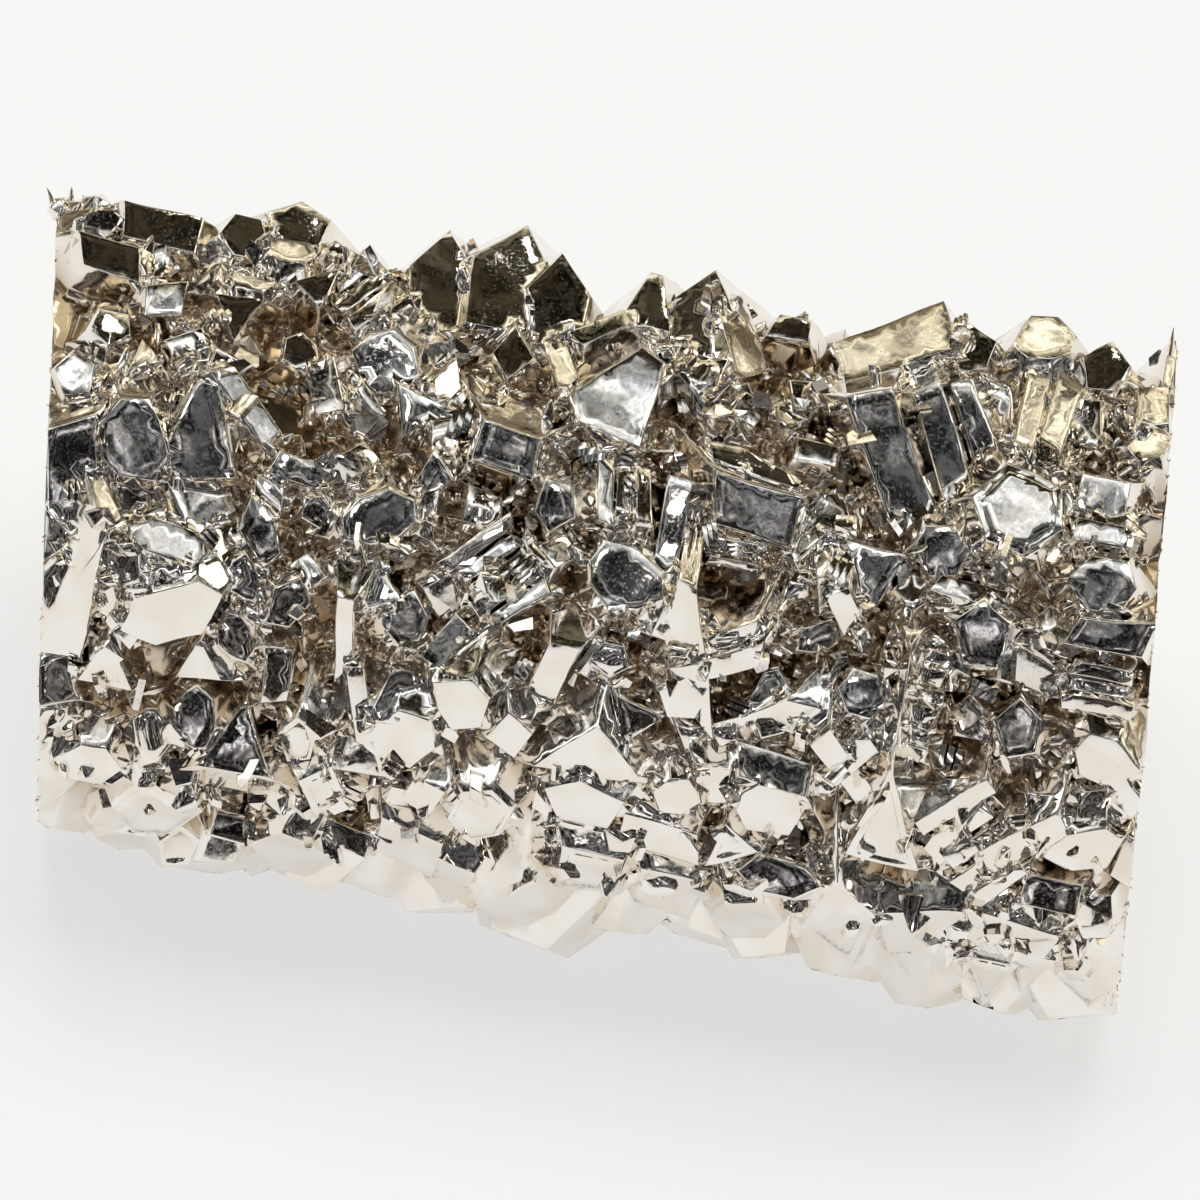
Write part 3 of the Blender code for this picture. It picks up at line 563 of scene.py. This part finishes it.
def strewn(name, shapes, places):
    # one mesh of many copies; a place is where, facing, width, depth, height and the way it lies
    points, faces = [], []
    for where, facing, width, depth, height, way in places:
        shapePoints, shapeFaces = shapes[chance.randrange(len(shapes))]
        turn = uprightTo(facing, chance.uniform(0.0, math.tau))
        if way is not None:
            level = (way - way.project(facing)).normalized()
            turn = Matrix((level, facing.cross(level), facing)).transposed()
            turn = turn @ Matrix.Rotation(chance.gauss(0.0, sway), 3, "Z")
        first = len(points)
        points.extend(where + turn @ Vector((point.x * width, point.y * depth, point.z * height))
                      for point in shapePoints)
        faces.extend(tuple(first + corner for corner in face) for face in shapeFaces)
    return meshObject(name, points, faces)


def wholeNumber(count):
    return int(count) + (1 if chance.random() < count - int(count) else 0)


def sizeOf(care):
    # mostly small ones
    return care["smallest"] + (care["largest"] - care["smallest"]) * chance.random() ** care["few"]


def wandering(lean):
    return Vector([chance.uniform(-1.0, 1.0) for _ in range(3)]) * lean


def standing(care, where, facing, size, stretch, way=None):
    return (where - facing * size * care["sunk"] * mm, facing, size * stretch * mm,
            size * chance.uniform(*care["depth"]) * mm,
            size * chance.uniform(*care["height"]) * mm, way)


grooveCrystals = {
    "spacing": 1.5,                      # along a groove, mm
    "smallest": 0.28,                    # mm
    "largest": 0.85,
    "few": 2.2,                          # the more, the fewer large ones
    "reach": 0.30,                       # sideways from the groove, mm
    "broad": 1.6,                        # a side larger than this is kept clear, mm2
    "broadReach": 0.10,
    "lean": 0.75,
    "leastOutward": 0.2,
    "alongShare": 0.5,                   # these lie along the groove
    "long": (1.2, 2.4),                  # their length, as a share of the size
    "short": (0.6, 1.1),                 # and the others'
    "depth": (0.5, 0.9),
    "height": (0.7, 1.1),
    "sunk": 0.15,
    "smooth": 28.0,                      # softer edges are shaded smooth, degrees
}


def inTheGrooves(grooves):
    care = grooveCrystals
    places = []
    for start, end, outward, sides in grooves:
        for _ in range(wholeNumber((end - start).length / mm / care["spacing"])):
            size = sizeOf(care)
            inward, area = sides[chance.randrange(2)]
            reach = abs(chance.gauss(0.0, care["reach"]))
            if area > care["broad"]:
                reach = min(reach, care["broadReach"])
            where = start.lerp(end, chance.random()) + inward * reach * mm
            facing = (outward + wandering(care["lean"])).normalized()
            if facing.dot(outward) < care["leastOutward"]:
                facing = outward
            along = chance.random() < care["alongShare"]
            stretch = chance.uniform(*(care["long"] if along else care["short"]))
            way = end - start if along else None
            places.append(standing(care, where, facing, size, stretch, way))
    return places


ledgeCrystals = {
    "spacing": 1.25,                     # one to so many millimetres of groove
    "shortest": 0.5,                     # a shorter groove has none, mm
    "smallest": 0.55,
    "largest": 1.55,
    "few": 1.5,
    "along": (0.25, 0.75),               # where on the groove
    "inward": (0.0, 0.35),               # over the smaller side, mm
    "outwards": 0.6,                     # how far they turn to the bar's outside
    "lean": 0.36,
    "depth": (0.45, 0.9),
    "height": (0.7, 1.3),
    "sunk": 0.05,
    "smooth": 40.0,
}


def onTheLedges(grooves):
    # middle-sized crystals that stand in the grooves and overgrow the rims of the large ones
    care = ledgeCrystals
    places = []
    for start, end, outward, sides in grooves:
        length = (end - start).length / mm
        if length < care["shortest"] or chance.random() > length / care["spacing"]:
            continue
        size = sizeOf(care)
        inward = sides[0][0] if sides[0][1] < sides[1][1] else sides[1][0]
        where = start.lerp(end, chance.uniform(*care["along"]))
        where = where + inward * chance.uniform(*care["inward"]) * mm
        wander = wandering(care["lean"])
        facing = (outward + outwardsAt(where) * care["outwards"] + wander).normalized()
        places.append(standing(care, where, facing, size, 1.0, end - start))
    return places


lowCrystals = {
    "spacing": 1.7,                      # mm from one to the next
    "tries": 6.0,                        # places tried to the square millimetre
    "smallest": 1.1,
    "largest": 2.4,
    "few": 1.6,
    "lean": 0.20,
    "depth": (0.5, 0.95),
    "height": (0.45, 0.75),
    "sunk": 0.08,
    "area": 1.2,                         # they are on faces larger than this, mm2
    "below": 0.12,                       # whose normals are lower than this
    "front": -0.15,                      # and point to the front so far
    "endArea": 2.0,                      # near the ends, on faces larger than this, mm2
    "endSideways": 0.45,                 # that look sideways so far
    "endStart": 19.0,                    # mm from the middle
    "endTurn": 1.2,                      # there they turn to the bar's outside
    "smooth": 30.0,
}


def onTheBroadFaces(flanks):
    # low crystals on the broad faces that look down at the front, or sideways near the ends
    care = lowCrystals
    places = []
    for area, outward, normal, corners in flanks:
        middle = sum(corners, Vector()) / len(corners)
        sideways = (abs(normal.x) > care["endSideways"] and area > care["endArea"]
                    and abs(middle.x) > care["endStart"] * mm and normal.y < 0.0)
        lowFront = normal.z <= care["below"] and normal.y <= care["front"] and area >= care["area"]
        if not sideways and not lowFront:
            continue
        turned = care["endTurn"] if sideways else 0.0
        taken = []
        for _ in range(int(area * care["tries"])):
            corner = chance.randrange(len(corners))
            rim = corners[corner - 1].lerp(corners[corner], chance.random())
            where = middle.lerp(rim, math.sqrt(chance.random()))
            if any((where - other).length < care["spacing"] * mm for other in taken):
                continue
            taken.append(where)
            size = sizeOf(care)
            wander = wandering(care["lean"])
            facing = (normal + wander + outwardsAt(where) * turned).normalized()
            places.append(standing(care, where, facing, size, 1.0))
    return places


flankCrystals = {
    "perMm2": 0.17,
    "outward": 0.86,                     # a face that looks further out than this has none
    "area": 0.8,                         # if it is larger than this, mm2
    "steep": 0.75,                       # a face that looks further out than this has fewer
    "fewer": 0.35,
    "smallest": 0.18,
    "largest": 0.50,
    "few": 2.5,
    "outwards": 0.2,
    "lean": 0.25,
    "long": (1.2, 3.6),
    "depth": (0.4, 0.8),
    "height": (0.5, 0.9),
    "sunk": 0.2,
    "smooth": 15.0,
}


def onTheFlanks(flanks):
    # ribs that run up the steep sides of the crystals
    care = flankCrystals
    places = []
    for area, outward, normal, corners in flanks:
        if outward > care["outward"] and area > care["area"]:
            continue
        share = 1.0 if outward < care["steep"] else care["fewer"]
        for _ in range(wholeNumber(area * care["perMm2"] * share)):
            weights = [chance.random() ** 2 for _ in corners]
            total = sum(weights)
            where = Vector()
            for weight, corner in zip(weights, corners):
                where += corner * (weight / total)
            size = sizeOf(care)
            wander = wandering(care["lean"])
            facing = (normal + outwardsAt(where) * care["outwards"] + wander).normalized()
            stretch = chance.uniform(*care["long"])
            places.append(standing(care, where, facing, size, stretch, outwardsAt(where)))
    return places


sawBurrs = {
    "perMm": 1.1,                        # along the rims of the saw cuts
    "smallest": 0.08,
    "largest": 0.26,
    "few": 2.5,
    "lowest": 1.5,                       # none nearer to the floor, mm
    "lean": 0.5,
    "overCut": 0.35,                     # how far they lean over the cut
    "width": (0.5, 0.9),
    "depth": (0.3, 0.6),
    "smooth": 60.0,
    # single spikes: along, across, outwards, width, length, lean along the bar
    "spikes": ((-25.55, 13.05, 3.9, 0.34, 1.0, -0.25), (-24.90, 13.2, 3.8, 0.42, 0.95, 0.2),
               (-24.30, 13.2, 4.1, 0.30, 0.7, 0.1), (22.95, 13.9, 4.8, 0.34, 1.2, 0.05)),
    "upward": (0.0, 0.7071, 0.7071),     # the ways that across and outwards are measured
    "forward": (0.0, -0.7071, 0.7071),
    "spikeDepth": 0.7,
    "spikeForward": 0.15,
    "corners": 6,
    "root": -0.12,
    "rise": 0.36,                        # of each bend
    "bends": ((0.04, 0.85), (0.14, 0.65), (0.30, 0.30)),     # sideways, how much thinner
    "twist": 0.4,
}


def burrShape():
    # a curved burr of torn metal that ends in a point
    care = sawBurrs
    place = Vector((0.0, 0.0, care["root"]))
    deselect()
    bpy.ops.mesh.primitive_circle_add(vertices=care["corners"], radius=0.5, fill_type="NGON",
                                      location=tuple(place))
    burr = bpy.context.object
    bpy.ops.object.mode_set(mode="EDIT")
    bpy.ops.mesh.select_all(action="SELECT")
    for lean, shrink in care["bends"]:
        step = Vector((lean, lean * care["twist"], care["rise"]))
        place += step
        bpy.ops.mesh.extrude_region_move(TRANSFORM_OT_translate={"value": tuple(step)})
        bpy.ops.transform.resize(value=(shrink, shrink, 1.0), center_override=tuple(place))
    bpy.ops.object.mode_set(mode="OBJECT")
    points, faces = shapeOf(burr)
    return points, sorted(faces)         # extrude lists them in another order each run


def onTheRims(rims):
    care = sawBurrs
    places = []
    for start, end, cut in rims:
        for _ in range(wholeNumber((end - start).length / mm * care["perMm"])):
            where = start.lerp(end, chance.random())
            if where.z < care["lowest"] * mm:
                continue
            size = sizeOf(care)
            wander = wandering(care["lean"])
            facing = (outwardsAt(where) + cut * care["overCut"] + wander).normalized()
            places.append((where, facing, size * chance.uniform(*care["width"]) * mm,
                           size * chance.uniform(*care["depth"]) * mm, size * mm, None))
    upward, forward = Vector(care["upward"]), Vector(care["forward"])
    for along, across, outwards, width, length, lean in care["spikes"]:
        offset = Vector((along, 0.0, 0.0)) + upward * across + forward * outwards
        facing = upward + Vector((lean, 0.0, 0.0)) + forward * care["spikeForward"]
        places.append((barMiddle + offset * mm, facing.normalized(), width * mm,
                       width * care["spikeDepth"] * mm, length * mm, None))
    return places


smallCrystals = {
    "clear": 0.1,                        # kept between them and the saw cuts and the floor, mm
    "clearShare": 0.55,                  # and so much of their size
    "lowerOutline": -0.90,               # across the front: -1 and 1 are its outlines
    "upperOutline": 0.95,
    "upperShare": 0.35,                  # how many stay at the upper outline
    "lowFront": 0.45,
    "lowShare": 0.55,                    # and on the lower front
    "slightRounding": 0.035,
    "rounding": 0.05,
}


def insideCuts(place):
    # keeps a small crystal behind the saw cuts and above the floor
    where, size = place[0], max(place[2], place[4])
    margin = smallCrystals["clear"] * mm + smallCrystals["clearShare"] * size
    if (where - leftEnd).dot(leftCut) > -margin or (where - rightEnd).dot(rightCut) > -margin:
        return False
    return where.z > margin


def thinned(places):
    # fewer small crystals on the lower front, and hardly any on the outline of the front
    care = smallCrystals
    kept = []
    for place in places:
        if not insideCuts(place):
            continue
        out = outwardsAt(place[0])
        across = (out.y + out.z) * diagonal
        share = 1.0
        if across < care["lowerOutline"]:
            share = 0.0
        elif across > care["upperOutline"]:
            share = care["upperShare"]
        elif out.z < care["lowFront"] and out.y < 0.0:
            share = care["lowShare"]
        if chance.random() < share:
            kept.append(place)
    return kept


def dress(name, places, shapes, metal, smooth):
    piece = strewn(name, shapes, places)
    piece.data.materials.append(metal)
    editing(piece)
    bpy.ops.mesh.select_all(action="SELECT")
    bpy.ops.mesh.normals_make_consistent(inside=False)
    bpy.ops.object.mode_set(mode="OBJECT")
    bpy.ops.object.shade_smooth_by_angle(angle=math.radians(smooth))
    triangles = sum(len(face.vertices) - 2 for face in piece.data.polygons)
    print(f"{name}: {len(places)} placed, {triangles} triangles")
    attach(piece, "root")


skin, grooves, flanks, rims = crystalSkin()
metal = titanium("titanium", titaniumLook)
smallMetal = titanium("titaniumSmall", titaniumLook, dimpled=False)
skin.data.materials.clear()
skin.data.materials.append(metal)
skin.data.materials.append(sawnTitanium(sawnLook))
for face in skin.data.polygons:
    face.material_index = 1 if isSawn(face) else 0
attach(skin, "root")
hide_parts("crystal_bar")

sharpChunks = chunkShapes()
softChunks = chunkShapes(smallCrystals["slightRounding"])
softestChunks = chunkShapes(smallCrystals["rounding"])
ledgePlaces = thinned(onTheLedges(grooves))
groovePlaces = thinned(inTheGrooves(grooves))
chance.shuffle(groovePlaces)
lowPlaces = thinned(onTheBroadFaces(flanks))
flankPlaces = thinned(onTheFlanks(flanks))
burrPlaces = onTheRims(rims)
dress("sawBurrs", burrPlaces, [burrShape()], smallMetal, sawBurrs["smooth"])
dress("ledgeCrystals", ledgePlaces, softChunks + softestChunks + [bladesShape()], metal,
      ledgeCrystals["smooth"])
dress("lowCrystals", lowPlaces, softChunks + softestChunks, metal, lowCrystals["smooth"])
dress("grooveCrystals1", groovePlaces, softChunks, smallMetal, grooveCrystals["smooth"])
dress("flankCrystals1", flankPlaces, sharpChunks, smallMetal, flankCrystals["smooth"])


floorLook = {
    "size": 3.0,                         # m
    "drop": 0.00001,                     # below the bar's resting faces, m
    "colour": (0.25, 0.25, 0.248),
    "roughness": 0.9,
    "specular": 0.1,
    "glowColour": (1.0, 1.0, 0.985),
    "glow": 0.635,
    "softbox": 2.0,                      # power of the lamp overhead that lights the floor, W
    "softboxPlace": (0.0, 0.05, 0.50),
    "softboxSize": 0.40,
}


def layFloor():
    look = floorLook
    deselect()
    bpy.ops.mesh.primitive_plane_add(size=look["size"], location=(0.0, 0.0, -look["drop"]))
    floor = bpy.context.object
    floor.name = "floor"
    material, tree, shader = nodeTree("paleFloor")
    shader.inputs["Base Color"].default_value = (*look["colour"], 1.0)
    shader.inputs["Roughness"].default_value = look["roughness"]
    shader.inputs["Specular IOR Level"].default_value = look["specular"]
    shader.inputs["Emission Color"].default_value = (*look["glowColour"], 1.0)
    shader.inputs["Emission Strength"].default_value = look["glow"]
    material.cycles.emission_sampling = "NONE"       # the metal finds the floor by mirroring it
    floor.data.materials.append(material)
    deselect()
    bpy.ops.object.light_add(type="AREA", location=look["softboxPlace"])
    softbox = bpy.context.object
    softbox.name = "softbox"
    softbox.rotation_euler = Vector(look["softboxPlace"]).to_track_quat("Z", "Y").to_euler()
    softbox.data.shape = "DISK"
    softbox.data.size = look["softboxSize"]
    softbox.data.energy = look["softbox"]
    softbox.visible_glossy = False       # it lights the floor and isn't mirrored in the metal


lamps = {
    "distance": 0.6,                     # m
    # azimuth (0 behind the bar, 90 to its right), elevation, half width, half height in degrees,
    # brightness, colour
    "lamps": ((66.0, 46.0, 8.0, 12.0, 2.2, (1.0, 0.95, 0.82)),
              (-70.0, 40.0, 7.0, 12.0, 2.2, (0.93, 0.96, 1.0)),
              (196.0, 62.0, 2.2, 2.2, 9.0, (1.0, 1.0, 1.0)),
              (14.0, 60.0, 2.0, 2.0, 9.0, (1.0, 0.97, 0.85)),
              (-24.0, 42.0, 2.0, 2.0, 9.0, (1.0, 0.97, 0.85)),
              (150.0, 33.0, 2.2, 2.2, 7.0, (0.95, 0.98, 1.0)),
              (205.0, 24.0, 2.2, 2.2, 7.0, (1.0, 0.96, 0.90))),
}


def hangLamps():
    distance = lamps["distance"]
    for number, (azimuth, elevation, wide, tall, brightness, colour) in enumerate(lamps["lamps"]):
        turn, rise = math.radians(azimuth), math.radians(elevation)
        away = Vector((math.sin(turn) * math.cos(rise), math.cos(turn) * math.cos(rise),
                       math.sin(rise)))
        deselect()
        bpy.ops.object.light_add(type="AREA", location=barMiddle + away * distance)
        lamp = bpy.context.object
        lamp.name = f"lamp{number + 1}"
        lamp.rotation_euler = away.to_track_quat("Z", "Y").to_euler()
        lamp.data.shape = "ELLIPSE"
        lamp.data.size = 2.0 * distance * math.tan(math.radians(wide))
        lamp.data.size_y = 2.0 * distance * math.tan(math.radians(tall))
        area = math.pi * lamp.data.size * lamp.data.size_y / 4.0
        lamp.data.energy = brightness * math.pi * area
        lamp.data.color = colour


roomLook = {
    # light by the angle over the bar: 0 level in front, 90 straight up, 180 level behind
    "bands": ((0, (0.045, 0.038, 0.032)), (22, (0.026, 0.024, 0.023)),
              (42, (0.027, 0.027, 0.029)), (56, (0.044, 0.047, 0.052)),
              (68, (0.10, 0.107, 0.112)), (74, (0.55, 0.58, 0.60)),
              (80, (1.12, 1.17, 1.21)), (86, (0.50, 0.53, 0.54)),
              (92, (0.045, 0.040, 0.032)), (102, (0.020, 0.016, 0.010)),
              (122, (0.032, 0.027, 0.016)), (129, (0.35, 0.32, 0.22)),
              (137, (0.88, 0.82, 0.64)), (146, (0.72, 0.66, 0.50)),
              (155, (0.20, 0.17, 0.11)), (180, (0.12, 0.09, 0.06))),
    "shapes": 9.0,                       # size of what stands about in the room
    "shapeDetail": 2.0,
    "shapeRoughness": 0.6,
    "unevenRange": (0.36, 0.64),         # it makes the bands uneven
    "unevenness": (0.12, 2.1),
    "patches": ((0.49, 0.0), (0.57, 0.09), (0.63, 0.36), (0.70, 1.1)),     # and adds patches
    "inFront": (0.98, 1.0, 1.03),        # tint of the patches
    "behind": (1.0, 0.93, 0.74),
    "tintRange": (-0.7, 0.3),
    "sideRange": (0.12, 0.42),           # patches are shown to the sides
    "heightRange": (0.44, 0.36),         # and low in front, none high up behind the bar
}


def scaled(tree, colour, amount):
    return add(tree, "ShaderNodeVectorMath", {0: colour, "Scale": amount},
               operation="SCALE").outputs[0]


def darkRoom():
    look = roomLook
    world = bpy.data.worlds.new("room")
    bpy.context.scene.world = world
    world.use_nodes = True
    tree = world.node_tree
    sky = tree.nodes["Background"]
    way = add(tree, "ShaderNodeTexCoord").outputs["Generated"]
    parts = add(tree, "ShaderNodeSeparateXYZ", {0: way}).outputs
    forward = add(tree, "ShaderNodeMath", {0: parts["Y"], 1: -1.0},
                  operation="MULTIPLY").outputs[0]
    over = add(tree, "ShaderNodeMath", {0: parts["Z"], 1: forward},
               operation="ARCTAN2").outputs[0]
    over = spread(tree, over, 0.0, math.pi)
    bands = ramp(tree, over, [(angle / 180.0, colour) for angle, colour in look["bands"]])
    shapes = add(tree, "ShaderNodeTexNoise",
                 {"Vector": way, "Scale": look["shapes"], "Detail": look["shapeDetail"],
                  "Roughness": look["shapeRoughness"]}).outputs["Fac"]
    uneven = spread(tree, shapes, *look["unevenRange"], *look["unevenness"])
    patches = ramp(tree, shapes, [(place, (light,) * 3) for place, light in look["patches"]])
    tints = blend(tree, spread(tree, parts["Y"], *look["tintRange"]),
                  look["inFront"], look["behind"])
    patches = add(tree, "ShaderNodeVectorMath", {0: patches, 1: tints},
                  operation="MULTIPLY").outputs[0]
    side = add(tree, "ShaderNodeMath", {0: parts["X"]}, operation="ABSOLUTE").outputs[0]
    shown = add(tree, "ShaderNodeMath", {0: spread(tree, side, *look["sideRange"]),
                                         1: spread(tree, over, *look["heightRange"])},
                operation="ADD", use_clamp=True).outputs[0]
    total = add(tree, "ShaderNodeVectorMath",
                {0: scaled(tree, bands, uneven), 1: scaled(tree, patches, shown)},
                operation="ADD").outputs[0]
    tree.links.new(total, sky.inputs["Color"])
    sky.inputs["Strength"].default_value = 1.0
    world.cycles.sampling_method = "NONE"


view = {
    "elevation": 45.0,
    "roll": 8.34,
    "lens": 1000.0,
    "sensor": 36.0,
    "pixels": 1200,
    "pixel": 0.0432,                     # what a pixel spans at the bar, mm
    "aside": 4.0,                        # pixels that the bar's middle stands off the view's middle
    "down": -4.5,
    "farthest": 20.0,                    # m
}


def placeCamera():
    rise = math.radians(view["elevation"])
    toCamera = Vector((0.0, -math.cos(rise), math.sin(rise)))
    upright = toCamera.to_track_quat("Z", "Y").to_matrix()
    turn = upright @ Matrix.Rotation(math.radians(view["roll"]), 3, "Z")
    pixel = view["pixel"] * mm
    distance = view["pixels"] * pixel * view["lens"] / view["sensor"]
    place = barMiddle + toCamera * distance
    place += turn.col[0] * view["aside"] * pixel + turn.col[1] * view["down"] * pixel
    deselect()
    bpy.ops.object.camera_add(location=place, rotation=turn.to_euler())
    camera = bpy.context.object
    camera.data.lens = view["lens"]
    camera.data.sensor_width = view["sensor"]
    camera.data.clip_end = view["farthest"]
    bpy.context.scene.camera = camera
    bpy.context.scene.view_settings.view_transform = "Standard"


layFloor()
hangLamps()
darkRoom()
placeCamera()
print("floor, lamps, room and camera done")
